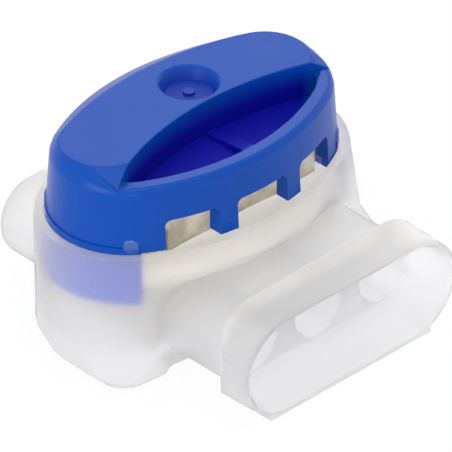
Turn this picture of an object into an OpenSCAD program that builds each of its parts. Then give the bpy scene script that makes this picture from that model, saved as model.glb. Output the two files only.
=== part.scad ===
// Insulation displacement connector for three wires, with its cap raised as it is supplied.
// Wires go in at the mouth, through the collar and the neck, and end in the rear chamber.
// Pressing the cap drives a slotted contact through their insulation, inside a bed of gel.
// Millimetres. X runs across the wires, -Y points out of the mouth and Z is up.
// The origin is on the floor, at the middle of the part's footprint.

/* [Wires] */
// Number of wires, side by side
wire_count = 3; // [2:1:4]
// Distance between the axes of neighbouring wires
wire_pitch = 5.76; // [5.2:0.02:6.6]
// Diameter of each wire hole
bore_d = 4.1; // [3.4:0.05:4.3]

/* [Housing] */
// Radius of the round ends of the rim
rim_r = 6.11; // [5.6:0.01:6.4]
// Half the rim's width, from the axis to the front or the rear
rim_b = 7.57; // [7.2:0.01:8.4]
// Height of the rim above the floor
rim_z = 8.6; // [8.2:0.05:10]
// Thickness of the wall at the rim
rim_wall = 0.64; // [0.5:0.02:0.9]
// Thickness of the housing's floor
floor_t = 1.0; // [0.7:0.05:1.3]
// How far the base stands out past the rim's ends
base_flare = 0.56; // [0.3:0.02:0.8]
// Radius of the base's bulging sides
belly_r = 4.35; // [3.8:0.05:4.8]
// How far in front of the axis the base's sides are widest
belly_y = 1.1; // [0.6:0.1:1.6]
// Height at which the wall starts to spread towards the base
waist_z = 2.6; // [1.6:0.1:4]
// How far the wall stands out past the rim's ends at that height
waist_flare = 0.28; // [0.1:0.02:0.4]
// Radius of the wall's sides at that height
waist_r = 4.65; // [4.2:0.05:5.2]
// How far in front of the axis the sides are widest at that height
waist_y = 1.5; // [1:0.1:2]
// Distance from the axis to the front of the base's corners
base_front = 6.5; // [6:0.05:7.2]
// Radius of the base's front corners
base_corner_r = 2.1; // [1.4:0.1:3]
// Rounding of the base's lower edge
base_round = 0.5; // [0.2:0.05:0.8]
// Half the width of the deep part of the cavity, between the two shelves
well_b = 5.3; // [5.1:0.05:5.6]
// How much further in the walls of that deep part lie at their ends
well_bow = 0.9; // [0.5:0.05:1.2]

/* [Neck and collar] */
// Wall round the wire holes in the neck
neck_wall = 0.55; // [0.45:0.05:0.8]
// Height of the neck's straight sides, below the axes of the wires
neck_side = 1.5; // [1:0.1:1.9]
// Distance from the axis to the collar's front face
collar_front = 14.84; // [13.5:0.02:17]
// Length of the collar along the wires
collar_depth = 3.28; // [2.8:0.02:3.8]
// Radius of the collar's ends at its rear, where it meets the floor
collar_rear_r = 3.76; // [3.5:0.02:4.2]
// Radius of the collar's rear corners, seen from above
collar_corner_r = 1.75; // [1:0.05:2.2]
// How much smaller the collar's radius is at its front
collar_taper = 0.1; // [0.04:0.02:0.2]
// Thickness of the lip round the mouth
lip_t = 0.26; // [0.2:0.02:0.5]
// Depth of the funnel behind the mouth
funnel_depth = 3.1; // [2:0.1:3.6]
// Ledge round the wire holes at the bottom of the funnel
funnel_ledge = 0.1; // [0.06:0.02:0.3]
// Half the width of the foot under the collar
foot_half = 7.2; // [6:0.1:7.8]

/* [Rear chamber] */
// Distance from the axis to the chamber's rear face
chamber_rear = 9.76; // [9.2:0.02:11.5]
// Diameter of the wire holes where they enter the chamber
chamber_bore_d = 4.4; // [4.36:0.02:4.5]
// Diameter of those holes at their blind end
chamber_bore_end_d = 4.25; // [4.2:0.01:4.34]
// Wall round those holes
chamber_wall = 0.67; // [0.5:0.02:0.8]
// Thickness of the chamber's end, behind the wires
chamber_end_t = 0.9; // [0.6:0.05:1.4]
// Rounding of the chamber's rear edge
chamber_round = 1.0; // [0.5:0.05:1.3]

/* [Relief under the neck] */
// Half the width of the relief
relief_half = 8.7; // [8.4:0.1:9.4]
// Height of the relief
relief_h = 0.75; // [0.5:0.05:1]
// Distance from the axis to the relief's back
relief_back = 5.3; // [5.2:0.05:5.8]
// Rounding of the relief's upper corners
relief_round = 0.65; // [0.3:0.05:0.7]

/* [Press cap] */
// Travel of the cap from its raised place to its pressed one
press_travel = 3.6; // [3:0.05:3.8]
// Gap between the cap's skirt and the cavity's wall
cap_clearance = 0.12; // [0.1:0.01:0.2]
// Gap that is left under each part of the cap when it is pressed
landing_gap = 0.12; // [0.05:0.01:0.25]
// Thickness of the cap's skirt
skirt_wall = 1.05; // [0.8:0.05:1.2]
// Height of the cap's shoulder above the rim
shoulder_h = 4.65; // [4.2:0.05:5.4]
// How much narrower the cap is at its shoulder than at the rim, on each side
cap_draft = 0.3; // [0.1:0.02:0.5]
// Height of the cap's flat top above the shoulder
crown_h = 0.85; // [0.5:0.05:1.2]
// Distance from the last wire's axis to the end of the flat top
top_end = 4.4; // [3.8:0.05:4.8]
// Half the width of the flat top
top_b = 4.35; // [3.9:0.05:4.8]
// Radius of the flat top's round ends
top_r = 2.95; // [2.4:0.05:3.4]
// How far the flat top's middle lies behind the axis
top_y = 0.68; // [0.3:0.02:1]
// Thickness of the cap under its flat top
top_t = 1.6; // [1.3:0.05:2]

/* [Skirt cut-outs] */
// Width of the notch over each wire
notch_w = 4.4; // [3.9:0.05:4.6]
// Distance from the last wire's axis to the outer edge of its notch
notch_outer = 1.5; // [1.3:0.05:2]
// Height of the notches above the rim
notch_h = 2.1; // [1.7:0.05:2.3]
// Radius of the notches' upper corners
notch_r = 0.45; // [0.2:0.05:0.8]
// Distance from the last wire's axis to the edge of the end leg
leg_edge = 3.0; // [2.6:0.05:3.4]
// How far the legs stand out past the skirt
bead_proud = 0.05; // [0.03:0.01:0.07]
// Height of the legs' upper step above the rim
bead_h = 0.45; // [0.3:0.05:0.8]
// Diameter of the round catches on the skirt
catch_d = 1.0; // [0.7:0.05:1.4]
// How far the catches stand out
catch_proud = 0.1; // [0.05:0.01:0.11]
// Height of the catches' middle above the rim
catch_h = 0.55; // [0.5:0.05:1.2]
// Angle of the catches from the ends of the cap
catch_turn = 49; // [40:1:60]

/* [Pocket and dimple] */
// Thickness of the wall in front of the pocket
pocket_wall = 1.15; // [0.9:0.05:1.4]
// Thickness of the pocket's floor
pocket_floor_t = 0.75; // [0.6:0.05:1]
// Distance from the axis forward to the pocket's far edge
pocket_far = 0.5; // [0.2:0.05:1.2]
// Radius of the pocket's far edge
pocket_arc_r = 22; // [19:0.5:28]
// How far the middle of the pocket's far edge lies off centre
pocket_x = 0.9; // [0:0.1:1.5]
// Thickness of the rib across the pocket
rib_t = 0.9; // [0.6:0.05:1.3]
// How far the rib lies off centre
rib_x = 1.1; // [0:0.1:2]
// Depth of the rib's top below the shoulder
rib_drop = 1.1; // [0.6:0.05:1.4]
// Diameter of the dimple on the flat top
dimple_d = 4.1; // [3:0.1:4.4]
// Diameter of the dimple's floor
dimple_floor_d = 3.1; // [2.2:0.1:3.2]
// Depth of the dimple
dimple_depth = 0.8; // [0.4:0.05:0.95]
// How far the dimple lies off centre
dimple_x = 1.45; // [0:0.05:2]
// How far the dimple lies behind the axis
dimple_y = 1.85; // [1.8:0.05:2.2]
// Diameter of the gate mark on the dimple's floor
gate_d = 0.8; // [0.4:0.1:1.2]
// Height of the gate mark
gate_h = 0.15; // [0.05:0.05:0.3]

/* [Contact] */
// Thickness of the contact's sheet
sheet_t = 0.8; // [0.6:0.05:0.9]
// Half the distance between the outer faces of the contact's two plates
contact_b = 3.3; // [3:0.05:3.6]
// Outer radius of the contact's two folds
fold_r = 1.0; // [0.95:0.05:1.2]
// Distance from the last wire's axis to the end of the contact
contact_end = 2.14; // [1.9:0.02:2.3]
// Width of the contact's slots
slot_w = 0.9; // [0.6:0.05:1.2]
// Height of the slots' tops above the contact's tips
slot_h = 3.8; // [3.2:0.1:4.2]
// Width of the slots' entries at the tips
entry_w = 3.6; // [2.8:0.1:4]
// Height of the slots' entries
entry_h = 1.5; // [1:0.1:2]
// Diameter of the cap's two posts, which hold the contact
post_d = 1.3; // [1:0.05:1.6]
// Diameter of the posts' heads
post_head_d = 2.0; // [1.7:0.05:2.4]
// Thickness of the posts' heads
post_head_t = 0.45; // [0.3:0.05:0.6]
// Gap between the contact and the cap
seat_gap = 0.05; // [0.03:0.01:0.1]

/* [Gel] */
// Height of the gel's surface above the floor
gel_z = 6.9; // [6:0.05:7.4]
// Gap between the gel and what it lies against
gel_gap = 0.08; // [0.05:0.01:0.2]
// Gap between the gel and the tips of the legs
gel_leg_gap = 0.25; // [0.15:0.05:0.4]

/* [Hidden] */
$fn = 64;
// Cutting shapes overshoot by this much
over = 1;
// Thickness of the rings that hulls are stretched between, and how far their second face is drawn in
skin = 0.02;
draw_in = 0.9;
// How far the arcs of an oval run past the lines where they meet
lap = 0.1;
hull_fn = 36;
side_fn = 144;
round_step = 30;

wires_half = wire_pitch * (wire_count - 1) / 2;
wire_xs = [for (i = [0 : wire_count - 1]) i * wire_pitch - wires_half];
finger_xs = [for (i = [1 : wire_count - 1]) wire_xs[i] - wire_pitch / 2];
wire_z = collar_rear_r;
axis_y = (collar_front - chamber_rear) / 2;
bore_r = bore_d / 2;
chamber_r = chamber_bore_d / 2 + chamber_wall;

rim_a = wires_half + rim_r;
shelf_z = rim_z - press_travel - landing_gap;
leg_tip_z = floor_t + press_travel + landing_gap;
neck_r = bore_r + neck_wall;
funnel_back = collar_front - funnel_depth;

shoulder_z = rim_z + shoulder_h;
top_z = shoulder_z + crown_h;
notch_z = rim_z + notch_h;
ceiling_z = notch_z + seat_gap;
pocket_z = ceiling_z + pocket_floor_t;
hollow_wall = skirt_wall + cap_draft;
leg_x = wires_half + leg_edge;
skirt_inset = rim_wall + cap_clearance;

contact_top = ceiling_z - seat_gap;
contact_half = wires_half + contact_end;
post_xs = [finger_xs[0], finger_xs[wire_count - 2]];
gel_x = leg_x - gel_leg_gap;
gel_low_z = leg_tip_z - gel_leg_gap;

// Oval of four arcs: half-length a, half-width b, and radius r at its two ends
module oval(a, b, r) {
    from_end = a - r;
    side_drop = (from_end * from_end - (b - r) * (b - r)) / (2 * (b - r));
    side_r = b + side_drop;
    join_x = side_r * from_end / (side_r - r);
    intersection() {
        translate([0, -side_drop]) circle(side_r, $fn = side_fn);
        translate([0, side_drop]) circle(side_r, $fn = side_fn);
        square([2 * (join_x + lap), 2 * b], center = true);
    }
    for (side = [-1, 1]) {
        intersection() {
            translate([side * from_end, 0]) circle(r);
            translate([side * (join_x + r + lap / 2), 0]) square(2 * r, center = true);
        }
    }
}

// The rim's oval, made smaller all round
module rim_oval(inset) {
    oval(rim_a - inset, rim_b - inset, rim_r - inset);
}

// Outline of radius r round the whole row of wires
module row_outline(r) {
    for (side = [-1, 1]) {
        translate([side * wires_half, 0]) circle(r);
    }
    square([2 * wires_half, 2 * r], center = true);
}

// Extrudes an outline seen from the front, from y_front to y_rear, at the height of the wires
module along_wires(y_front, y_rear) {
    translate([0, y_rear, wire_z]) rotate([90, 0, 0]) linear_extrude(y_rear - y_front) children();
}

// Thin slab at height z for a hull, whose other face is drawn in towards dir, up (1) or down (-1)
module ring(z, dir) {
    translate([0, 0, z]) mirror([0, 0, (1 - dir) / 2]) linear_extrude(skin, scale = draw_in) children();
}

// The same kind of slab across the wires, with its other face towards dir, rear (1) or front (-1)
module wire_ring(y, dir) {
    translate([0, y, wire_z]) rotate([-90 * dir, 0, 0]) linear_extrude(skin, scale = draw_in) children();
}

// Opening with rounded upper corners, standing on its own X axis
module arch(w, h, r) {
    translate([-w / 2, -over]) square([w, h - r + over]);
    translate([r - w / 2, 0]) square([w - 2 * r, h]);
    for (side = [-1, 1]) {
        translate([side * (w / 2 - r), h - r]) circle(r);
    }
}

// Outer form of the housing: oval at the rim, bulging from the waist down, squared out at the base's front
module shell_body() {
    hull() {
        ring(waist_z, 1) waist_outline();
        ring(rim_z, -1) rim_oval(0, $fn = hull_fn);
    }
    hull() {
        for (turn = [0 : round_step : 90]) {
            ring(base_round * (1 - cos(turn)), 1) base_outline(base_round * (1 - sin(turn)));
        }
        ring(waist_z, -1) waist_outline();
    }
}

// The rim's oval, inset by some distance, with a pair of circles that bulge past its ends
module bulged_oval(inset, flare, y, r) {
    rim_oval(inset, $fn = hull_fn);
    for (side = [-1, 1]) {
        translate([side * (rim_a + flare - r), -y]) circle(r - inset, $fn = hull_fn);
    }
}

module waist_outline() {
    bulged_oval(0, waist_flare, waist_y, waist_r);
}

module base_outline(inset) {
    bulged_oval(inset, base_flare, belly_y, belly_r);
    bulged_oval(inset, base_flare, base_front - base_corner_r, base_corner_r);
}

// Neck between the housing and the collar, with its lower corners cut at an angle
module neck() {
    neck_half = wires_half + neck_r;
    cut = neck_r - neck_side;
    along_wires(collar_depth / 2 - collar_front, 0) {
        row_outline(neck_r);
        polygon([
            [-neck_half, 0], [neck_half, 0], [neck_half, -neck_side],
            [neck_half - cut, -neck_r], [cut - neck_half, -neck_r], [-neck_half, -neck_side]
        ]);
    }
}

// Collar that flares slightly towards its rear, on a foot with square corners
module collar() {
    intersection() {
        hull() {
            wire_ring(-collar_front, 1) row_outline(collar_rear_r - collar_taper, $fn = hull_fn);
            wire_ring(collar_depth - collar_front, -1) row_outline(collar_rear_r, $fn = hull_fn);
        }
        translate([0, 0, -over]) linear_extrude(2 * (collar_rear_r + over)) collar_plan();
    }
    translate([-foot_half, -collar_front, 0]) cube([2 * foot_half, collar_depth, wire_z]);
}

// The collar seen from above, with its rear corners rounded
module collar_plan() {
    half = wires_half + collar_rear_r;
    translate([-half, -collar_front - over]) square([2 * half, collar_depth - collar_corner_r + over]);
    translate([collar_corner_r - half, -collar_front]) square([2 * (half - collar_corner_r), collar_depth + over]);
    for (side = [-1, 1]) {
        translate([side * (half - collar_corner_r), collar_depth - collar_front - collar_corner_r])
            circle(collar_corner_r);
    }
}

// Closed chamber behind the housing, rounded at its rear edge
module rear_chamber() {
    translate([0, 0, wire_z]) rotate([-90, 0, 0]) {
        for (side = [-1, 1]) {
            translate([side * wires_half, 0, 0]) rotate_extrude() chamber_profile();
        }
        translate([-wires_half, 0, 0]) rotate([90, 0, 90]) linear_extrude(2 * wires_half) {
            chamber_profile();
            mirror([1, 0]) chamber_profile();
        }
    }
}

// Half section of the chamber: its radius across, and its length upwards
module chamber_profile() {
    square([chamber_r, chamber_rear - chamber_round]);
    square([chamber_r - chamber_round, chamber_rear]);
    intersection() {
        translate([chamber_r - chamber_round, chamber_rear - chamber_round]) circle(chamber_round);
        square([chamber_r, chamber_rear]);
    }
}

// Space for the cap: an oval above the shelves, and a narrower well between them
module cavity() {
    translate([0, 0, shelf_z]) linear_extrude(rim_z - shelf_z + over) rim_oval(rim_wall);
    translate([0, 0, floor_t]) linear_extrude(shelf_z - floor_t + over) well_outline(0);
}

// Outline of the well, made smaller all round, with its front and rear walls bowed
module well_outline(inset) {
    bow_r = (rim_a * rim_a + well_bow * well_bow) / (2 * well_bow);
    intersection() {
        rim_oval(rim_wall + inset);
        translate([0, well_b - bow_r]) circle(bow_r - inset, $fn = side_fn);
        translate([0, bow_r - well_b]) circle(bow_r - inset, $fn = side_fn);
    }
}

// Funnel behind the mouth, down to a narrow ledge round the wire holes
module funnel() {
    hull() {
        wire_ring(-collar_front - skin, 1) row_outline(collar_rear_r - collar_taper - lip_t, $fn = hull_fn);
        wire_ring(-funnel_back, -1) row_outline(bore_r + funnel_ledge, $fn = hull_fn);
    }
}

// Holes through the neck, and blind ones with draft in the chamber
module wire_bores() {
    blind_end = chamber_rear - chamber_end_t;
    for (x = wire_xs) {
        wire_hole(x, 0, bore_d, bore_d, funnel_back + skin);
        wire_hole(x, blind_end, chamber_bore_end_d, chamber_bore_d, blind_end);
    }
}

// Hole along one wire, from y_rear forward over some length
module wire_hole(x, y_rear, rear_d, front_d, length) {
    translate([x, y_rear, wire_z]) rotate([90, 0, 0]) cylinder(d1 = rear_d, d2 = front_d, h = length);
}

// Low cut under the neck, into the front of the base
module relief() {
    translate([0, -relief_back, 0]) rotate([90, 0, 0]) linear_extrude(base_front)
        arch(2 * relief_half, relief_h, relief_round);
}

module housing() {
    color([0.92, 0.92, 0.94]) translate([0, axis_y, 0]) difference() {
        union() {
            difference() {
                shell_body();
                relief();
            }
            neck();
            collar();
            rear_chamber();
        }
        cavity();
        funnel();
        wire_bores();
    }
}

// Outer form of the cap above the rim: skirt with draft, shoulder, sloping band and flat top
module cap_body() {
    hull() {
        ring(rim_z, 1) rim_oval(skirt_inset, $fn = hull_fn);
        ring(shoulder_z, -1) rim_oval(skirt_inset + cap_draft, $fn = hull_fn);
        translate([0, top_y, 0]) ring(top_z, -1) oval(wires_half + top_end, top_b, top_r, $fn = hull_fn);
    }
}

module cap_leg(side) {
    translate([0, 0, leg_tip_z]) linear_extrude(rim_z + bead_h - leg_tip_z) intersection() {
        difference() {
            rim_oval(skirt_inset - bead_proud);
            rim_oval(skirt_inset + skirt_wall);
        }
        translate([side * (leg_x + rim_a), 0]) square([2 * rim_a, 2 * rim_b], center = true);
    }
}

module cap_hollow() {
    translate([0, 0, rim_z - over]) linear_extrude(ceiling_z - rim_z + over) rim_oval(skirt_inset + skirt_wall);
    translate([0, 0, rim_z]) linear_extrude(top_z - top_t - rim_z) difference() {
        rim_oval(skirt_inset + hollow_wall);
        far_arc(pocket_wall);
    }
}

module notches() {
    for (x = wire_xs) {
        left = x > wire_xs[0] ? notch_w / 2 : notch_outer;
        right = x < wires_half ? notch_w / 2 : notch_outer;
        translate([x + (right - left) / 2, rim_b, rim_z]) rotate([90, 0, 0]) linear_extrude(2 * rim_b)
            arch(left + right, notch_h, notch_r);
    }
}

// Everything in front of the pocket's far edge, which may be moved back by some distance
module far_arc(back) {
    translate([pocket_x, -pocket_far - pocket_arc_r]) circle(pocket_arc_r + back, $fn = side_fn);
}

// Pocket in the cap's top, with one rib across it, behind a front wall at shoulder height
module pocket() {
    translate([0, 0, shoulder_z]) linear_extrude(crown_h + over) far_arc(0);
    difference() {
        translate([0, 0, pocket_z]) linear_extrude(top_z - pocket_z) intersection() {
            rim_oval(skirt_inset + cap_draft + pocket_wall);
            far_arc(0);
        }
        translate([rib_x - rib_t / 2, -rim_b, pocket_z - over])
            cube([rib_t, 2 * rim_b, shoulder_z - rib_drop - pocket_z + over]);
    }
}

module dimple() {
    translate([dimple_x, dimple_y, top_z - dimple_depth]) difference() {
        cylinder(d1 = dimple_floor_d, d2 = dimple_d, h = dimple_depth);
        translate([0, 0, -over]) cylinder(d = gate_d, h = gate_h + over);
    }
}

// Round catches that hold the cap raised on the housing's rim
module catches() {
    ball_r = (catch_d * catch_d / 4 + catch_proud * catch_proud) / (2 * catch_proud);
    ball_in = rim_r - skirt_inset + catch_proud - ball_r;
    for (side = [-1, 1], turn = [-catch_turn, catch_turn]) {
        translate([side * wires_half, 0, rim_z + catch_h]) rotate([0, 0, 90 - side * 90 + turn])
            translate([ball_in, 0, 0]) sphere(ball_r);
    }
}

// Two posts with heads under the cap's ceiling, which hold the contact
module posts() {
    for (x = post_xs) {
        translate([x, 0, contact_top - sheet_t - seat_gap - post_head_t]) {
            cylinder(d = post_head_d, h = post_head_t);
            cylinder(d = post_d, h = post_head_t + sheet_t + 3 * seat_gap);
        }
    }
}

module press_cap() {
    color([0.0, 0.29, 0.72]) translate([0, axis_y, 0]) {
        difference() {
            union() {
                cap_body();
                cap_leg(-1);
                cap_leg(1);
                catches();
            }
            cap_hollow();
            notches();
            pocket();
            dimple();
        }
        posts();
    }
}

// Section of the folded sheet: an upside-down U, seen along X
module contact_section() {
    difference() {
        folded_outline(contact_b, contact_top, fold_r);
        folded_outline(contact_b - sheet_t, contact_top - sheet_t, fold_r - sheet_t);
    }
}

module folded_outline(half, top, r) {
    translate([-half, 0]) square([2 * half, top - r]);
    translate([r - half, 0]) square([2 * (half - r), top]);
    for (side = [-1, 1]) {
        translate([side * (half - r), top - r]) circle(r);
    }
}

// Slot that strips and grips one wire, with a tapered entry
module slot() {
    translate([-slot_w / 2, 0]) square([slot_w, slot_h - slot_w / 2]);
    translate([0, slot_h - slot_w / 2]) circle(d = slot_w);
    polygon([[-entry_w / 2, 0], [entry_w / 2, 0], [slot_w / 2, entry_h], [-slot_w / 2, entry_h]]);
    translate([-entry_w / 2, -over]) square([entry_w, over]);
}

module contact() {
    color([0.72, 0.70, 0.62]) translate([0, axis_y, 0]) difference() {
        translate([-contact_half, 0, 0]) rotate([90, 0, 90]) linear_extrude(2 * contact_half) contact_section();
        translate([-rim_a, -rim_b, -over]) cube([2 * rim_a, 2 * rim_b, leg_tip_z + over]);
        for (x = wire_xs) {
            translate([x, rim_b, leg_tip_z]) rotate([90, 0, 0]) linear_extrude(2 * rim_b) slot();
        }
        for (x = post_xs) {
            translate([x, 0, contact_top - sheet_t - over])
                cylinder(d = post_d + 2 * seat_gap, h = sheet_t + 2 * over);
        }
    }
}

// Gel in the well, over the shelves and between the contact's plates, clear of the cap's legs and of the wires
module sealant_gel() {
    gel_foot_z = floor_t + gel_gap;
    color([0.90, 0.87, 0.78]) translate([0, axis_y, 0]) difference() {
        union() {
            translate([0, 0, gel_foot_z]) linear_extrude(gel_low_z - gel_foot_z) well_outline(gel_gap);
            translate([0, 0, gel_foot_z]) linear_extrude(gel_z - gel_foot_z) intersection() {
                well_outline(gel_gap);
                square([2 * gel_x, 2 * rim_b], center = true);
            }
            translate([0, 0, shelf_z + gel_gap]) linear_extrude(gel_z - shelf_z - gel_gap) intersection() {
                rim_oval(rim_wall + gel_gap);
                square([2 * gel_x, 2 * rim_b], center = true);
            }
        }
        for (side = [-1, 1]) {
            translate([0, side * (contact_b - sheet_t / 2), leg_tip_z - gel_gap + rim_z / 2])
                cube([2 * (contact_half + gel_gap), sheet_t + 2 * gel_gap, rim_z], center = true);
        }
        for (x = wire_xs) {
            wire_hole(x, well_bow - well_b, bore_d, bore_d, rim_b);
        }
    }
}

housing();
press_cap();
contact();
sealant_gel();
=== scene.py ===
# %% [markdown]
# # A gel-filled connector for three wires
# This scene dresses a small plastic connector: a milky housing with a wide mouth for three wires,
# a blue cap that is pressed down on them, a slotted metal contact under the cap, and a bed of gel.
# The shapes come from the CAD model. Most of the work here is in the finishes: milky plastic, blue
# plastic, dull tin and wet gel, which have to look right under plain studio light.
#
# First the CAD model is loaded. Every length is in metres, and Z points up.

# %% Load the CAD model
import math

import bmesh
import bpy
from mathutils import Matrix, Vector
from mathutils.bvhtree import BVHTree
from mathutils.noise import noise as noise_at


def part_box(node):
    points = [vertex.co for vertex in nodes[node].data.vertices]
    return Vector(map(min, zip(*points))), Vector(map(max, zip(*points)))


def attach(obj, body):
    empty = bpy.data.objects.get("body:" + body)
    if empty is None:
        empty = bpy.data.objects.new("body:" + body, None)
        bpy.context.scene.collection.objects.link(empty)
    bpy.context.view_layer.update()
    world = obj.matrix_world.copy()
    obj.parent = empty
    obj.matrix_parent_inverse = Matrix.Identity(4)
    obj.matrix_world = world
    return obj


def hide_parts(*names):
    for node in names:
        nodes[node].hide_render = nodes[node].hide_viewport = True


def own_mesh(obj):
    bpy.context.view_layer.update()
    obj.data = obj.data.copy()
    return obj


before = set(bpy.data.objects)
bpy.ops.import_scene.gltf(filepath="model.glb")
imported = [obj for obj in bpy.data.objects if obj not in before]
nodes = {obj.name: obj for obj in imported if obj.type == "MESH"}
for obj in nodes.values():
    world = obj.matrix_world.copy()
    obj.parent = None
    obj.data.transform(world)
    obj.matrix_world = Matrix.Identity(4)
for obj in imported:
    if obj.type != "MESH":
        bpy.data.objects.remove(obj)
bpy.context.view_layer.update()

MM = 0.001

# %% [markdown]
# ## The photographer's place
# A product picture like this one is taken with a long lens from far away, so parallel edges stay
# nearly parallel. A camera could be placed by hand, but here its angle is known: it looks from the
# front left, a little over a third of the way up. Three vectors describe such a view: one to the
# right in the picture, one up, and one back from the object to the lens. The first two also shift
# the view a little, until the object sits in the picture as it does in the photograph.

# %% Camera
TURN = math.radians(-43.747)
RISE = math.radians(34.553)
DISTANCE = 555 * MM
SIDE_SHIFT = 2.18 * MM
HEIGHT_SHIFT = 3.602 * MM
PICTURE_SPAN = 29.659 * MM
SENSOR = 36.0
NEAREST = DISTANCE / 10
cap_low, cap_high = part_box("press_cap")
cap_centre = (cap_low + cap_high) / 2

back = Vector((math.sin(TURN) * math.cos(RISE), -math.cos(TURN) * math.cos(RISE), math.sin(RISE)))
right = Vector((math.cos(TURN), math.sin(TURN), 0))
up = back.cross(right)
target = Vector((0, cap_centre.y, 0)) + right * SIDE_SHIFT + up * HEIGHT_SHIFT
eye = target + back * DISTANCE

camera_data = bpy.data.cameras.new("camera")
camera_data.sensor_width = SENSOR
camera_data.lens = SENSOR * DISTANCE / PICTURE_SPAN
camera_data.clip_start = NEAREST
camera = bpy.data.objects.new("camera", camera_data)
camera.matrix_world = Matrix.Translation(eye) @ Matrix((right, up, back)).transposed().to_4x4()
bpy.context.scene.collection.objects.link(camera)
bpy.context.scene.camera = camera
bpy.context.scene.view_settings.view_transform = "Standard"
print("lens, mm:", round(camera_data.lens, 1))

# %% [markdown]
# ## A short way to write node materials
# A node material is a sum written with boxes and wires. Clicking it together in the editor is easy
# to see but hard to repeat, so this class wraps one output socket and lets Python's own signs add
# the nodes: `1 - mask` adds a Subtract node, and `a * b` a Multiply node.

# %% Sockets as values
class Wire:
    """One output socket, on which arithmetic adds Math nodes."""

    def __init__(self, recipe, socket):
        self.recipe = recipe
        self.socket = socket

    def maths(self, operation, first, second):
        return self.recipe.node("Math", {"operation": operation}, {0: first, 1: second})

    def __add__(self, other):
        return self.maths("ADD", self, other)

    def __sub__(self, other):
        return self.maths("SUBTRACT", self, other)

    def __rsub__(self, other):
        return self.maths("SUBTRACT", other, self)

    def __mul__(self, other):
        return self.maths("MULTIPLY", self, other)

    __radd__ = __add__
    __rmul__ = __mul__


print("signs that add nodes: + - *")

# %% [markdown]
# Every other node comes from one method. It takes the node's type, then its settings, which have
# to be set first because some of them change the node's sockets, and last the values or wires of
# its sockets. A world's light is a node tree as well, so the same class serves both.

# %% Recipes
class Recipe:
    """A node tree, and the one method that adds a node to it."""

    def __init__(self, owner):
        owner.use_nodes = True
        self.owner = owner
        self.tree = owner.node_tree
        self.tree.nodes.clear()

    def node(self, kind, settings, sockets, result=0):
        """Adds a node and returns its output of that name or number, if it has outputs."""
        made = self.tree.nodes.new("ShaderNode" + kind)
        for name, value in settings.items():
            if name == "stops":
                self.set_stops(made.color_ramp.elements, value)
            else:
                setattr(made, name, value)
        for name, value in sockets.items():
            if isinstance(value, Wire):
                self.tree.links.new(value.socket, made.inputs[name])
            else:
                made.inputs[name].default_value = value
        return Wire(self, made.outputs[result]) if made.outputs else made

    @staticmethod
    def set_stops(elements, stops):
        """Gives a ramp its stops, each a position and a colour."""
        while len(elements) < len(stops):
            elements.new(1.0)
        for element, (position, colour) in zip(elements, stops):
            element.position = position
            element.color = (*colour, 1)


def new_material(name):
    return Recipe(bpy.data.materials.new(name))


print("one method adds any node")

# %% [markdown]
# The finishes below need the same few things again and again: where a point is on the object, and
# smooth random values. Object coordinates are used for both, because they are in metres and stay
# with the piece when it moves. The other helpers turn a stretch of one value into 0 to 1, and such
# a value into a colour.

# %% Places, noise, stretches and colours
def place(recipe, axis):
    """One Object coordinate, in metres."""
    whole = recipe.node("TexCoord", {}, {}, "Object")
    return recipe.node("SeparateXYZ", {}, {"Vector": whole}, axis)


def noise(recipe, size, detail=2.0):
    """Smooth random values from 0 to 1, in patches of about this size in metres."""
    whole = recipe.node("TexCoord", {}, {}, "Object")
    return recipe.node("TexNoise", {}, {"Vector": whole, "Scale": 1 / size, "Detail": detail})


def stretch(recipe, value, low, high):
    """0 where the value is at low, 1 where it is at high, and even steps between."""
    sockets = {"Value": value, "From Min": low, "From Max": high}
    return recipe.node("MapRange", {"clamp": True}, sockets)


def ramp(recipe, factor, *stops):
    return recipe.node("ValToRGB", {"stops": stops}, {"Fac": factor})


def blend(recipe, factor, first, second):
    """One colour where the factor is 0, and another where it is 1."""
    return recipe.node("Mix", {"data_type": "RGBA"}, {0: factor, 6: first, 7: second}, 2)


print("helpers for places, noise, stretches, ramps and blends")

# %% [markdown]
# A steel mould leaves a faint grain on plastic, which breaks up its reflections a little. Bump
# gives that grain. The Bevel node bends light at the edges as if they were slightly round.

# %% Moulded skin
GRAIN_DEPTH = 0.02 * MM
BEVEL_SAMPLES = 4


def grained(recipe, grain, strength, **more):
    """A normal with grain of this size in metres."""
    sockets = {"Strength": strength, "Distance": GRAIN_DEPTH, "Height": noise(recipe, grain)}
    return recipe.node("Bump", {}, {**sockets, **more})


def moulded_skin(recipe, edge, grain, strength):
    """The same grain on softened edges."""
    soft = recipe.node("Bevel", {"samples": BEVEL_SAMPLES}, {"Radius": edge})
    return grained(recipe, grain, strength, Normal=soft)


print("helpers for grain and soft edges")

# %% [markdown]
# ## Milky plastic
# The housing is natural polypropylene. It lets light through but scatters it, so the blue legs
# behind its wall show as a soft blue shade, while things further back melt away. A clear glass
# shader would show them too sharply, and a white one would hide them. The Principled shader can be
# in between: most light goes through, but a very rough surface scatters it, so only what touches
# the wall stays readable. The rest is scattered just under the skin, which keeps the shadows soft.
#
# Near the rim the plastic gets a painted warm light, for the gel that shines through there, and
# near the table a painted shade makes it a little darker. Real milky plastic also evens the light
# out, as it pipes it from wall to wall in hundreds of tiny steps. A renderer stops after a few, so
# a faint painted glow of the plastic gives back what is lost.

# %% Housing plastic
# By height: painted shade near the table, plain milk in the middle, painted warm gel light near the
# rim.
SHADED_MILK = (0.80, 0.80, 0.81)
MILK = (0.87, 0.87, 0.88)
MILK_PAINTED_GEL_LIGHT = (0.87, 0.855, 0.825)
MILK_BY_HEIGHT = ((0.1, SHADED_MILK), (0.42, MILK), (1.0, MILK_PAINTED_GEL_LIGHT))
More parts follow.
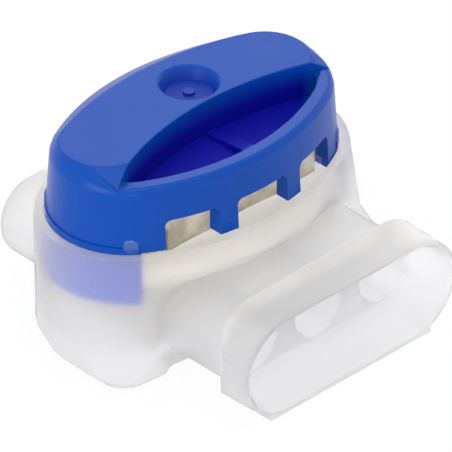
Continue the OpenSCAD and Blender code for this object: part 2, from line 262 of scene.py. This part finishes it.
# A faint painted glow for the light that the renderer's few bounces lose.
MILK_GLOW = (0.045, 0.045, 0.046, 1)
MILK_ROUGHNESS = 0.72
MILK_UNEVENNESS = 0.08
MILK_PATCH = 4 * MM
MILK_EDGE = 0.15 * MM
MILK_GRAIN = 0.35 * MM
EVEN = (1, 1, 1)
housing_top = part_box("housing")[1].z


def milky_plastic():
    recipe = new_material("milky_plastic")
    height = stretch(recipe, place(recipe, "Z"), 0.0, housing_top)
    shader = recipe.node("BsdfPrincipled", {}, {
        "Base Color": ramp(recipe, height, *MILK_BY_HEIGHT),
        "Roughness": MILK_ROUGHNESS + noise(recipe, MILK_PATCH) * MILK_UNEVENNESS,
        "Normal": moulded_skin(recipe, MILK_EDGE, MILK_GRAIN, strength=0.04),
        "IOR": 1.3,
        "Transmission Weight": 0.94,
        "Subsurface Weight": 1.0,
        "Subsurface Radius": EVEN,
        "Subsurface Scale": 0.6 * MM,
        "Emission Color": MILK_GLOW,
        "Emission Strength": 1.0,
    })
    recipe.node("OutputMaterial", {}, {"Surface": shader})
    return recipe.owner


housing_finish = milky_plastic()
print("made", housing_finish.name)

# %% [markdown]
# ## Blue plastic
# The cap is the same plastic with so much blue dye that hardly any light comes through. Three
# things make it look real. The thumb hollow gets painted shade, a deeper blue than the walls, for
# the light that bounces from wall to wall there and meets the dye again and again, so the painted
# shade follows the depth below the top, inside the hollow's outline. The hollow and the flat top
# are duller than the walls, as the mould was etched there. And the legs get painted light, a
# lighter blue than the rest, for the light that reaches them from the clear walls around them.
#
# The hollow lies inside an ellipse, where the sum of two squares is below 1. The painted shade
# fades out as that sum nears 1.

# %% The hollow's place
HOLLOW_HALF_LENGTH = 10.0 * MM
HOLLOW_HALF_WIDTH = 4.2 * MM
HOLLOW_DEPTH = 1.6 * MM
HOLLOW_EDGE = 0.85


def in_hollow(recipe, height):
    """1 deep in the thumb hollow, 0 outside it and at its top."""
    along = place(recipe, "X") * (1 / HOLLOW_HALF_LENGTH)
    across = (place(recipe, "Y") - cap_centre.y) * (1 / HOLLOW_HALF_WIDTH)
    inside = 1 - stretch(recipe, along * along + across * across, HOLLOW_EDGE, 1.0)
    depth = 1 - stretch(recipe, height, cap_high.z - HOLLOW_DEPTH, cap_high.z)
    return inside * depth


print("hollow, mm deep:", round(HOLLOW_DEPTH / MM, 2))

# %% [markdown]
# The catches on the cap's skirt get a finish of their own. The mould is polished there, so they
# glint.

# %% Cap plastic
BLUE = (0.0, 0.054, 0.34)
# Painted light on the legs below the housing's rim, a lighter blue than the cap's own.
LEG_PAINTED_LIGHT = (0.0, 0.05, 0.55)
# Painted shade for the thumb hollow, deepest far below the top.
HOLLOW_PAINTED_SHADE = (0.0, 0.001, 0.29, 1)
LEG_FADE = 1.0 * MM
ETCH_START = 0.08 * MM
ETCH_FULL = 0.02 * MM
CAP_ROUGHNESS = 0.24
CAP_UNEVENNESS = 0.1
CAP_PATCH = 3 * MM
CAP_GRAIN = 0.3 * MM
ETCHED_DULLER = 0.1
HOLLOW_DULLER = 0.35


def blue_plastic():
    recipe = new_material("blue_plastic")
    height = place(recipe, "Z")
    hollow = in_hollow(recipe, height)
    etched = stretch(recipe, height, cap_high.z - ETCH_START, cap_high.z - ETCH_FULL)
    above_rim = stretch(recipe, height, housing_top - LEG_FADE, housing_top)
    # The legs' painted light fades into the cap's blue over the last millimetre below the rim.
    blue_with_painted_leg_light = ramp(recipe, above_rim, (0.0, LEG_PAINTED_LIGHT), (1.0, BLUE))
    polish = CAP_ROUGHNESS + noise(recipe, CAP_PATCH) * CAP_UNEVENNESS
    shader = recipe.node("BsdfPrincipled", {}, {
        # Painted shade deep in the hollow, laid over the blue with the legs' painted light.
        "Base Color": blend(recipe, hollow, blue_with_painted_leg_light, HOLLOW_PAINTED_SHADE),
        "Roughness": polish + etched * ETCHED_DULLER + hollow * HOLLOW_DULLER,
        "Normal": grained(recipe, CAP_GRAIN, strength=0.05),
        "IOR": 1.45,
        "Specular IOR Level": 0.2,
    })
    recipe.node("OutputMaterial", {}, {"Surface": shader})
    return recipe.owner


def polished_blue():
    recipe = new_material("polished_blue")
    sockets = {"Base Color": (*BLUE, 1), "Roughness": 0.12, "Specular IOR Level": 1.0}
    shader = recipe.node("BsdfPrincipled", {}, sockets)
    recipe.node("OutputMaterial", {}, {"Surface": shader})
    return recipe.owner


cap_finish = blue_plastic()
catch_finish = polished_blue()
print("made", cap_finish.name, "and", catch_finish.name)

# %% [markdown]
# ## Dull tin
# The contact is tinned brass. The plating is metal, but cloudy, and it isn't equally dull all over,
# so both its colour and its roughness follow soft clouds of noise.

# %% Contact finish
TIN = (0.82, 0.79, 0.71)
STAINED_TIN = (0.53, 0.49, 0.40)
TIN_ROUGHNESS = 0.36
CLOUD_ROUGHNESS = 0.24
CLOUD = 1.5 * MM


def dull_tin():
    recipe = new_material("dull_tin")
    cloud = noise(recipe, CLOUD, detail=4.0)
    shader = recipe.node("BsdfPrincipled", {}, {
        "Base Color": ramp(recipe, cloud, (0.35, STAINED_TIN), (0.65, TIN)),
        "Metallic": 1.0,
        "Roughness": TIN_ROUGHNESS + cloud * CLOUD_ROUGHNESS,
    })
    recipe.node("OutputMaterial", {}, {"Surface": shader})
    return recipe.owner


contact_finish = dull_tin()
print("made", contact_finish.name)

# %% [markdown]
# ## Wet gel
# The gel is a pale cream grease. Light wanders far inside it, which subsurface scattering over
# several millimetres imitates. In a real one the walls on all sides pipe light into it, more than
# the few bounces of a renderer can carry, so its open top gets a faint painted glow for that light.

# %% Gel finish
CREAM = (0.68, 0.66, 0.62)
PALE_CREAM = (0.78, 0.76, 0.71)
LUMP = 1.8 * MM
GEL_PAINTED_GLOW = (0.33, 0.32, 0.30)
DARK = (0, 0, 0)
GLOW_START = 1.2 * MM
GLOW_FULL = 0.2 * MM
gel_low, gel_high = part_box("sealant_gel")


def wet_gel():
    recipe = new_material("wet_gel")
    lumps = noise(recipe, LUMP, detail=3.0)
    height = place(recipe, "Z")
    near_top = stretch(recipe, height, gel_high.z - GLOW_START, gel_high.z - GLOW_FULL)
    lumpy = {"Strength": 0.35, "Distance": 0.25 * MM, "Height": lumps}
    shader = recipe.node("BsdfPrincipled", {}, {
        "Base Color": ramp(recipe, lumps, (0.3, CREAM), (0.8, PALE_CREAM)),
        "Roughness": 0.5,
        "Normal": recipe.node("Bump", {}, lumpy),
        "IOR": 1.2,
        "Transmission Weight": 0.5,
        "Subsurface Weight": 1.0,
        "Subsurface Radius": EVEN,
        "Subsurface Scale": 4.0 * MM,
        # Painted glow, rising towards the gel's top.
        "Emission Color": ramp(recipe, near_top, (0.0, DARK), (1.0, GEL_PAINTED_GLOW)),
        "Emission Strength": 1.0,
    })
    recipe.node("OutputMaterial", {}, {"Surface": shader})
    return recipe.owner


gel_finish = wet_gel()
print("made", gel_finish.name)

# %% [markdown]
# ## Smooth shading without touching the meshes
# A CAD mesh comes as loose triangles. Shaded as it is, each round wall shows its facets. The mesh
# itself must stay as it is, so the work is done by modifiers: Weld joins the triangles, and a small
# node group shades them smooth, except where two faces meet at a clear angle.

# %% Smooth by angle
SHARP_ANGLE = math.radians(28)
WELD_DISTANCE = 0.001 * MM


def smooth_by_angle():
    """A geometry node group: smooth faces, and sharp edges over the angle."""
    tree = bpy.data.node_groups.new("smooth_by_angle", "GeometryNodeTree")
    for direction in ("INPUT", "OUTPUT"):
        tree.interface.new_socket("Geometry", in_out=direction, socket_type="NodeSocketGeometry")
    entry = tree.nodes.new("NodeGroupInput")
    leave = tree.nodes.new("NodeGroupOutput")
    angle = tree.nodes.new("GeometryNodeInputMeshEdgeAngle")
    compare = tree.nodes.new("FunctionNodeCompare")
    compare.operation = "LESS_THAN"
    compare.inputs[1].default_value = SHARP_ANGLE
    faces = tree.nodes.new("GeometryNodeSetShadeSmooth")
    edges = tree.nodes.new("GeometryNodeSetShadeSmooth")
    edges.domain = "EDGE"
    tree.links.new(entry.outputs[0], faces.inputs["Geometry"])
    tree.links.new(faces.outputs[0], edges.inputs["Geometry"])
    tree.links.new(angle.outputs["Unsigned Angle"], compare.inputs[0])
    tree.links.new(compare.outputs["Result"], edges.inputs["Shade Smooth"])
    tree.links.new(edges.outputs[0], leave.inputs[0])
    return tree


smooth_group = smooth_by_angle()
print("smooth below, degrees:", round(math.degrees(SHARP_ANGLE)))

# %% [markdown]
# The housing and the contact are used as the CAD model has them. They only get their finish and
# this shading.

# %% Dress the housing and the contact
def smooth_shading(piece):
    weld = piece.modifiers.new("weld", "WELD")
    weld.merge_threshold = WELD_DISTANCE
    piece.modifiers.new("smooth", "NODES").node_group = smooth_group


for name, finish in (("housing", housing_finish), ("contact", contact_finish)):
    nodes[name].data.materials.clear()
    nodes[name].data.materials.append(finish)
    smooth_shading(nodes[name])
print("dressed the housing and the contact")

# %% [markdown]
# ## The cap's rounded edges
# On the real cap the wide edge round the shoulder is a soft roll, which the CAD model leaves sharp.
# A shader can fake a small rounding, but the outline against the background would stay sharp, so
# this one is real. A copy of the CAD cap is merged, and its flat faces are joined, as a round runs
# cleanly only between whole faces. Corners that then lie closer than a few hundredths of a
# millimetre are joined too.

# %% A merged copy of a CAD piece
FLAT_ANGLE = math.radians(0.5)
SLIVER = 0.03 * MM


def merged_copy(name):
    """A bmesh of a CAD node with its loose triangles joined to closed faces."""
    mesh = bmesh.new()
    mesh.from_mesh(nodes[name].data)
    bmesh.ops.remove_doubles(mesh, verts=mesh.verts, dist=WELD_DISTANCE)
    return mesh


cap_mesh = merged_copy("press_cap")
bmesh.ops.dissolve_limit(
    cap_mesh, angle_limit=FLAT_ANGLE, verts=cap_mesh.verts, edges=cap_mesh.edges
)
bmesh.ops.remove_doubles(cap_mesh, verts=cap_mesh.verts, dist=SLIVER)
print("cap faces after joining:", len(cap_mesh.faces))

# %% [markdown]
# A thin rib crosses the floor of the thumb hollow. The photograph shows only its near half, so
# here its top falls towards the far wall, into the dark. The corners to lower are found by where
# they are: at the top of the rib, and in a small box round its far end.

# %% Slope the rib in the hollow
HEIGHT_SLACK = 0.01 * MM
RIB_TOP = cap_high.z - 1.95 * MM
RIB_END_LOW = Vector((0.5, 1.5)) * MM
RIB_END_HIGH = Vector((1.7, 3.0)) * MM
RIB_FALL = 0.5 * MM

for vert in cap_mesh.verts:
    on_top = abs(vert.co.z - RIB_TOP) < HEIGHT_SLACK
    across = RIB_END_LOW.x < vert.co.x < RIB_END_HIGH.x
    along = RIB_END_LOW.y < vert.co.y < RIB_END_HIGH.y
    if on_top and across and along:
        vert.co.z -= RIB_FALL
        print("lowered a corner of the rib at, mm:", [round(value / MM, 2) for value in vert.co])

# %% [markdown]
# The edges to round are picked by their height, where their two faces meet at a clear angle. At
# the height of the shoulder there are edges of two kinds, those of the outer wall and those of the
# hollow. The way the wall faces tells them apart: away from the cap's middle, or towards it.

# %% Pick edges by height
LEAST_TURN = math.radians(12)
WALL_LEAN = 0.3


def level_edges(height, outer=None):
    """Edges at one height that turn clearly: all, or only those of outer or of inner walls."""
    found = []
    for edge in cap_mesh.edges:
        if any(abs(vert.co.z - height) > HEIGHT_SLACK for vert in edge.verts):
            continue
        if edge.calc_face_angle() < LEAST_TURN:
            continue
        walls = [face.normal for face in edge.link_faces if abs(face.normal.z) < WALL_LEAN]
        middle = (edge.verts[0].co + edge.verts[1].co) / 2
        outward = (middle - cap_centre) * Vector((1, 1, 0))
        if outer is None or (len(walls) == 1 and (walls[0].dot(outward) > 0) == outer):
            found.append(edge)
    return found


print("edges round the flat top:", len(level_edges(cap_high.z)))

# %% [markdown]
# Bevel with several segments turns the edges into rounds: a wide one round the shoulder, and a
# narrow one round the flat top and the thumb hollow. Where the hollow cuts the shoulder, a few
# corners lie so close together that the wide round would fold over itself, so they are joined
# first. They are listed in the mesh's own order, as a set has another order in every run.

# %% Round the edges
SHOULDER_DEPTH = 0.85 * MM
CROWDED = 0.1 * MM
WIDE_ROUND = 0.45 * MM
NARROW_ROUND = 0.12 * MM


def round_off(edges, width, segments):
    bmesh.ops.bevel(
        cap_mesh, geom=edges, offset=width, segments=segments, profile=0.5,
        affect="EDGES", material=-1, clamp_overlap=False,
    )


shoulder = cap_high.z - SHOULDER_DEPTH
on_shoulder = {vert for edge in level_edges(shoulder, outer=True) for vert in edge.verts}
in_order = [vert for vert in cap_mesh.verts if vert in on_shoulder]
bmesh.ops.remove_doubles(cap_mesh, verts=in_order, dist=CROWDED)
round_off(level_edges(shoulder, outer=True), WIDE_ROUND, segments=4)
narrow_edges = level_edges(shoulder, outer=False) + level_edges(cap_high.z)
round_off(narrow_edges, NARROW_ROUND, segments=2)
print("cap faces after rounding:", len(cap_mesh.faces))

# %% [markdown]
# The finished copy takes the place of the CAD cap and rides on the body that is pressed down. The
# Weighted Normal modifier lets the large faces decide how the light falls, so that only the rounds
# bend it, and the flat top looks flat up to its edge.

# %% Place the cap
def new_piece(name, mesh, finish):
    """Turns a bmesh into a smooth object in the scene, at the origin."""
    data = bpy.data.meshes.new(name)
    mesh.to_mesh(data)
    mesh.free()
    data.shade_smooth()
    data.materials.append(finish)
    piece = bpy.data.objects.new(name, data)
    bpy.context.scene.collection.objects.link(piece)
    return piece


cap_surface = BVHTree.FromBMesh(cap_mesh)
cap = new_piece("cap_with_rolled_edges", cap_mesh, cap_finish)
smooth_shading(cap)
weighted = cap.modifiers.new("weighted normals", "WEIGHTED_NORMAL")
weighted.keep_sharp = True
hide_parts("press_cap")
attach(cap, "press")
print("placed the cap")

# %% [markdown]
# ## Catches
# Four round catches stand a tenth of a millimetre out of the skirt, just above the housing's rim.
# They hold the cap up until it is pressed. A ray from outside finds each CAD catch, and a smooth
# polished dome, a hundredth of a millimetre higher, is laid over it. The places are given as turns
# about the centres of the skirt's two end arcs.

# %% Catches
END_ARC_CENTRE = 5.76 * MM
CATCH_RISE = 0.55 * MM
CATCH_TURN = math.radians(49)
CATCH_STANDS = 0.1 * MM
DOME_RADII = Vector((0.52, 0.52, 0.11)) * MM
OUTSIDE = 9 * MM

catch_mesh = bmesh.new()
for side in (-1, 1):
    centre = Vector((side * END_ARC_CENTRE, cap_centre.y, housing_top + CATCH_RISE))
    for turn in (-CATCH_TURN, CATCH_TURN):
        away = Vector((side * math.cos(turn), math.sin(turn), 0))
        seat = cap_surface.ray_cast(centre + away * OUTSIDE, -away)[0] - away * CATCH_STANDS
        placed = Matrix.LocRotScale(seat, away.to_track_quat("Z", "Y"), DOME_RADII)
        bmesh.ops.create_uvsphere(catch_mesh, u_segments=32, v_segments=24, radius=1, matrix=placed)
        print("catch seated at, mm:", [round(value / MM, 2) for value in seat])
catches = new_piece("catches", catch_mesh, catch_finish)
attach(catches, "press")

# %% [markdown]
# ## The gel
# The gel is soft, and its CAD solid is a plain block with sharp edges. The real surface creeps up
# the walls a little and is never quite flat. A copy of the block is reshaped in three steps.
#
# The first makes room for the two plates of the contact and for the cap's legs, which come down
# through the gel. Four blocks are made here, to be cut out of it later: one round each plate, and
# one at each end, from the legs outwards.

# %% Room in the gel
PLATE = 0.8 * MM
LEG_START = 8.55 * MM
LEG_END = 2 * LEG_START
ROOM = 0.2 * MM
contact_low, contact_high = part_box("contact")


def add_block(mesh, low, high):
    middle = (Vector(low) + Vector(high)) / 2
    size = Vector(high) - Vector(low)
    bmesh.ops.create_cube(mesh, size=1, matrix=Matrix.LocRotScale(middle, None, size))


room = bmesh.new()
half_width = contact_high.x + ROOM
for front in (contact_low.y, contact_high.y - PLATE):
    low = (-half_width, front - ROOM, 0)
    add_block(room, low, (half_width, front + PLATE + ROOM, cap_high.z))
for side in (-1, 1):
    ends = sorted((side * LEG_START, side * LEG_END))
    add_block(room, (ends[0], gel_low.y - ROOM, 0), (ends[1], gel_high.y + ROOM, cap_high.z))
print("faces of the blocks:", len(room.faces))

# %% [markdown]
# In the second step the gel is cut, remeshed to small even faces and smoothed, which rounds its
# edges like a thick liquid's. Modifiers do the work, and their result becomes the piece's own mesh.

# %% Soft gel
GEL_VOXEL = 0.2 * MM
SMOOTHING_ROUNDS = 6

gel = new_piece("gel_bed", merged_copy("sealant_gel"), gel_finish)
cutter = new_piece("gel_cutter", room, gel_finish)
cut = gel.modifiers.new("room", "BOOLEAN")
cut.object = cutter
remesh = gel.modifiers.new("even faces", "REMESH")
remesh.mode = "VOXEL"
remesh.voxel_size = GEL_VOXEL
remesh.use_smooth_shade = True
soften = gel.modifiers.new("soft edges", "SMOOTH")
soften.iterations = SMOOTHING_ROUNDS

bpy.context.view_layer.update()
finished = gel.evaluated_get(bpy.context.evaluated_depsgraph_get())
settled = bpy.data.meshes.new_from_object(finished)
gel.modifiers.clear()
gel.data = settled
bpy.data.objects.remove(cutter)
print("gel faces:", len(settled.polygons))

# %% [markdown]
# In the last step noise lifts and lowers the top, and less so further down. The real gel is
# squeezed as the cap comes down.

# %% Waves on the gel
WAVE = 0.2 * MM
WAVE_DEPTH = 5 * WAVE
WAVE_SIZE = 2.5 * MM

for vert in settled.vertices:
    near_top = max(0, 1 - (gel_high.z - vert.co.z) / WAVE_DEPTH)
    spot = Vector((vert.co.x, vert.co.y, 0)) / WAVE_SIZE
    vert.co.z += WAVE * near_top * noise_at(spot)

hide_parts("sealant_gel")
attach(gel, "base")
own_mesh(gel)
print("highest point of the gel, mm:", round(max(vert.co.z for vert in settled.vertices) / MM, 2))

# %% [markdown]
# ## Table
# The object stands on white paper. A shadow is a strong clue to scale, so the paper keeps a faint
# one, but to the camera the paper itself is plain white. Light Path tells the shader who is
# looking: the camera, mirrors and glass see white, and light that bounces softly sees ordinary
# pale paper, so the white adds no light of its own.

# %% Floor
FLOOR_SIZE = 0.6
PAPER = (0.82, 0.82, 0.83, 1)
WHITE = (1, 1, 1, 1)
SHADOW_SHARE = 0.12


def looked_at(recipe):
    """1 for rays that come from the camera, from mirrors or through glass, and 0 for the rest."""
    rays = ("Is Camera Ray", "Is Glossy Ray", "Is Transmission Ray")
    return stretch(recipe, sum(recipe.node("LightPath", {}, {}, ray) for ray in rays), 0, 1)


def white_paper():
    recipe = new_material("white_paper")
    matt = recipe.node("BsdfDiffuse", {}, {"Color": PAPER})
    white = recipe.node("Emission", {}, {"Color": WHITE, "Strength": 1.0})
    factor = looked_at(recipe) * (1 - SHADOW_SHARE)
    mixed = recipe.node("MixShader", {}, {0: factor, 1: matt, 2: white})
    recipe.node("OutputMaterial", {}, {"Surface": mixed})
    return recipe.owner


floor_mesh = bmesh.new()
bmesh.ops.create_grid(floor_mesh, x_segments=1, y_segments=1, size=FLOOR_SIZE / 2)
floor = new_piece("floor", floor_mesh, white_paper())
print("floor, metres wide:", FLOOR_SIZE)

# %% [markdown]
# ## Light
# A white room gives most of the light, evenly from all sides. Soft boxes, which are square lamps as
# wide as windows, give it a direction. The one behind on the right is the important one: the cap's
# flat top mirrors it towards the lens, and that sheen tells the eye that the top is flat and
# slightly dull. The one overhead does the same for the sloping band round the flat top. The left
# one is stronger than the right, so the object has a light and a shaded side, and the small one in
# front gives glints on the catches.

# %% World and lamps
WORLD_LIGHT = 0.95
LAMPS = (
    # name, place and width in metres, power in watts
    ("ceiling", (-0.02, -0.01, 0.30), 0.18, 0.16),
    ("back_window", (0.20, 0.21, 0.20), 0.20, 0.20),
    ("left_window", (-0.30, -0.04, 0.10), 0.18, 0.38),
    ("right_window", (0.28, -0.02, 0.10), 0.18, 0.07),
    ("small_window", (-0.19, -0.24, 0.06), 0.05, 0.06),
)


def white_room():
    world = bpy.data.worlds.new("white_room")
    bpy.context.scene.world = world
    recipe = Recipe(world)
    strength = looked_at(recipe) * (1 - WORLD_LIGHT) + WORLD_LIGHT
    light = recipe.node("Background", {}, {"Color": WHITE, "Strength": strength})
    recipe.node("OutputWorld", {}, {"Surface": light})


def soft_box(name, spot, width, power):
    """A square lamp that faces the middle of the object."""
    lamp = bpy.data.lights.new(name, "AREA")
    lamp.shape = "SQUARE"
    lamp.size = width
    lamp.energy = power
    piece = bpy.data.objects.new(name, lamp)
    middle = Vector((0, 0, cap_high.z / 2))
    facing = (Vector(spot) - middle).to_track_quat("Z", "Y")
    piece.matrix_world = Matrix.Translation(spot) @ facing.to_matrix().to_4x4()
    bpy.context.scene.collection.objects.link(piece)


white_room()
for row in LAMPS:
    soft_box(*row)
print("lamps:", len(bpy.data.lights))
